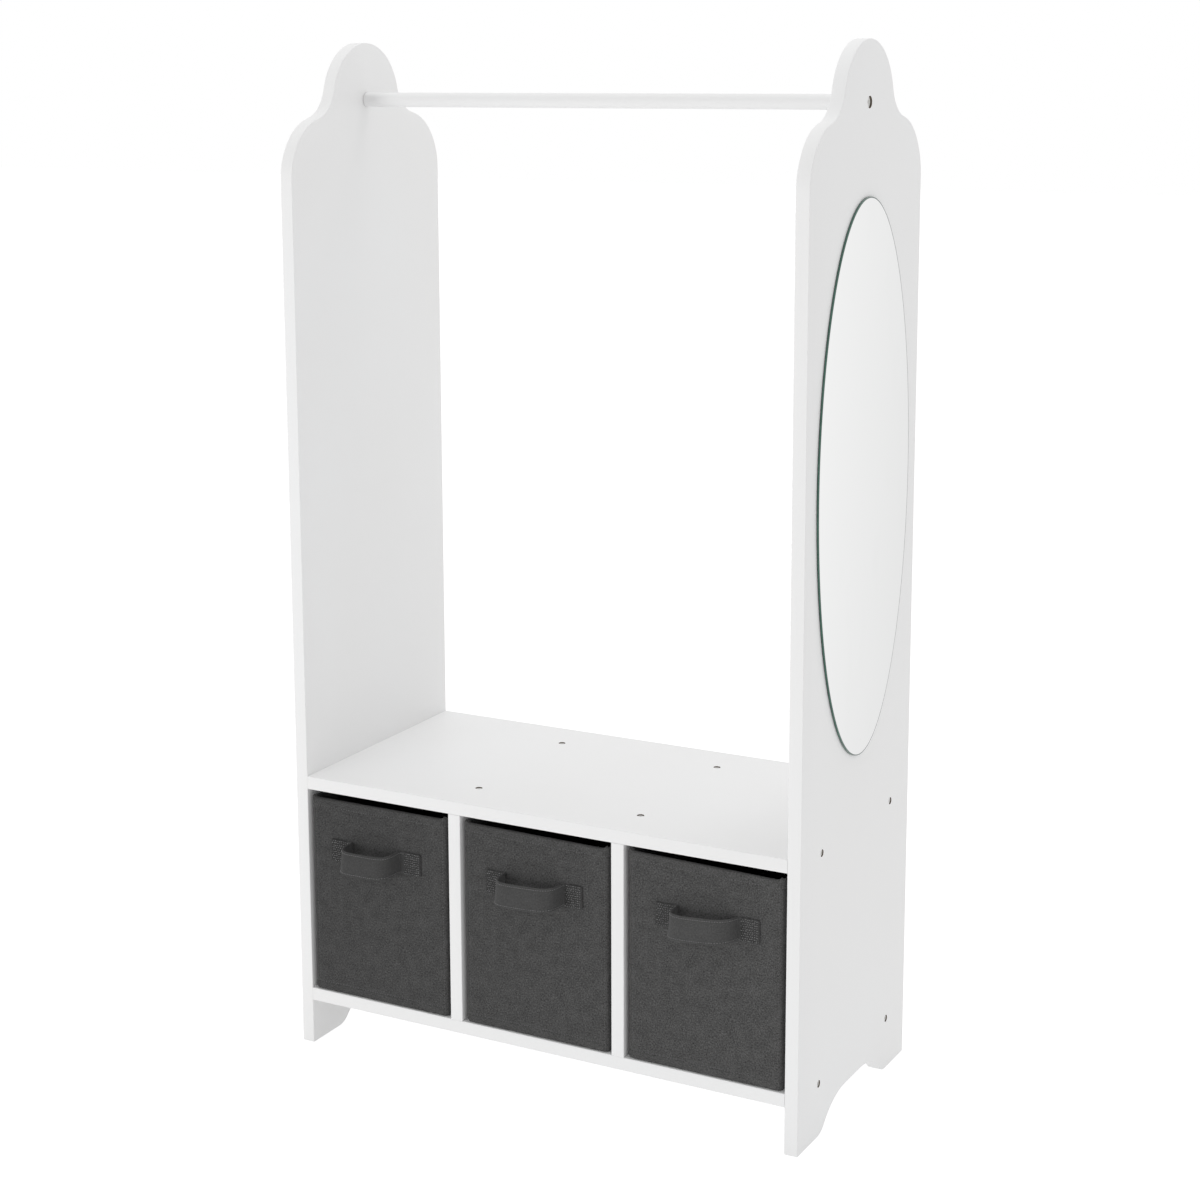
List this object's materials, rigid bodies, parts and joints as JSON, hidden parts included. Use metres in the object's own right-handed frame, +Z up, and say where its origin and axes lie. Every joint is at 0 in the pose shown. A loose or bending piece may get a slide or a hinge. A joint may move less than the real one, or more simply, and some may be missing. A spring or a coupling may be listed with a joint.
{
  "type": "dress up storage unit with mirror",
  "caption": "Child's open clothes rail over a bench with bays for pull-out cloth bins, between domed side panels, with an oval mirror on one side.",
  "frame": {"origin": "middle of the footprint of the whole unit with its handles and mirror, on the floor", "axes": "+Z up, -Y the front where the bins pull out, +X the side that carries the mirror"},
  "size_m": [0.6184, 0.334, 1.135],
  "materials": {
    "white_board": "satin white paint on fibreboard",
    "white_tube": "white powder coat",
    "nylon": "moulded nylon",
    "zinc_steel": "zinc plated",
    "beech_dowel": "bare wood",
    "mirror_glass": "polished, silvered behind, with a green-tinted edge",
    "safety_film": "grey safety film",
    "bonding_tape": "white foam tape",
    "charcoal_cloth": "charcoal woven cloth",
    "charcoal_strap": "charcoal folded strap, stitched along both edges",
    "lining_cloth": "thin charcoal lining",
    "lining_cloth_board": "card covered with charcoal cloth",
    "grey_card": "grey card"
  },
  "bodies": {
    "carcass": {"left_side_panel": "white_board", "right_side_panel": "white_board", "bench_top": "white_board", "bottom_shelf": "white_board", "left_divider": "white_board", "right_divider": "white_board", "rail_tube": "white_tube", "rail_plugs": "nylon", "rail_bolts": "zinc_steel", "left_panel_screws": "zinc_steel", "right_panel_screws": "zinc_steel", "bench_top_screws": "zinc_steel", "bottom_shelf_screws": "zinc_steel", "left_panel_dowels": "beech_dowel", "right_panel_dowels": "beech_dowel", "divider_dowels": "beech_dowel", "mirror_glass": "mirror_glass", "mirror_film": "safety_film", "mirror_tape": "bonding_tape"},
    "left_bin": {"left_bin_cover": "charcoal_cloth", "left_bin_bottom": "charcoal_cloth", "left_bin_lining": "lining_cloth", "left_bin_cards": "grey_card", "left_bin_hem": "charcoal_cloth", "left_bin_handle": "charcoal_strap"},
    "left_base": {"left_bin_base": "lining_cloth_board"},
    "middle_bin": {"middle_bin_cover": "charcoal_cloth", "middle_bin_bottom": "charcoal_cloth", "middle_bin_lining": "lining_cloth", "middle_bin_cards": "grey_card", "middle_bin_hem": "charcoal_cloth", "middle_bin_handle": "charcoal_strap"},
    "middle_base": {"middle_bin_base": "lining_cloth_board"},
    "right_bin": {"right_bin_cover": "charcoal_cloth", "right_bin_bottom": "charcoal_cloth", "right_bin_lining": "lining_cloth", "right_bin_cards": "grey_card", "right_bin_hem": "charcoal_cloth", "right_bin_handle": "charcoal_strap"},
    "right_base": {"right_bin_base": "lining_cloth_board"}
  },
  "joints": [
    {"name": "left_bin_slide", "type": "slide", "parent": "carcass", "child": "left_bin", "axis": [0, -1, 0], "range_m": [0, 0.3]},
    {"name": "left_base_lift", "type": "slide", "parent": "left_bin", "child": "left_base", "axis": [0, 0, 1], "range_m": [0, 0.22]},
    {"name": "middle_bin_slide", "type": "slide", "parent": "carcass", "child": "middle_bin", "axis": [0, -1, 0], "range_m": [0, 0.3]},
    {"name": "middle_base_lift", "type": "slide", "parent": "middle_bin", "child": "middle_base", "axis": [0, 0, 1], "range_m": [0, 0.22]},
    {"name": "right_bin_slide", "type": "slide", "parent": "carcass", "child": "right_bin", "axis": [0, -1, 0], "range_m": [0, 0.3]},
    {"name": "right_base_lift", "type": "slide", "parent": "right_bin", "child": "right_base", "axis": [0, 0, 1], "range_m": [0, 0.22]}
  ]
}
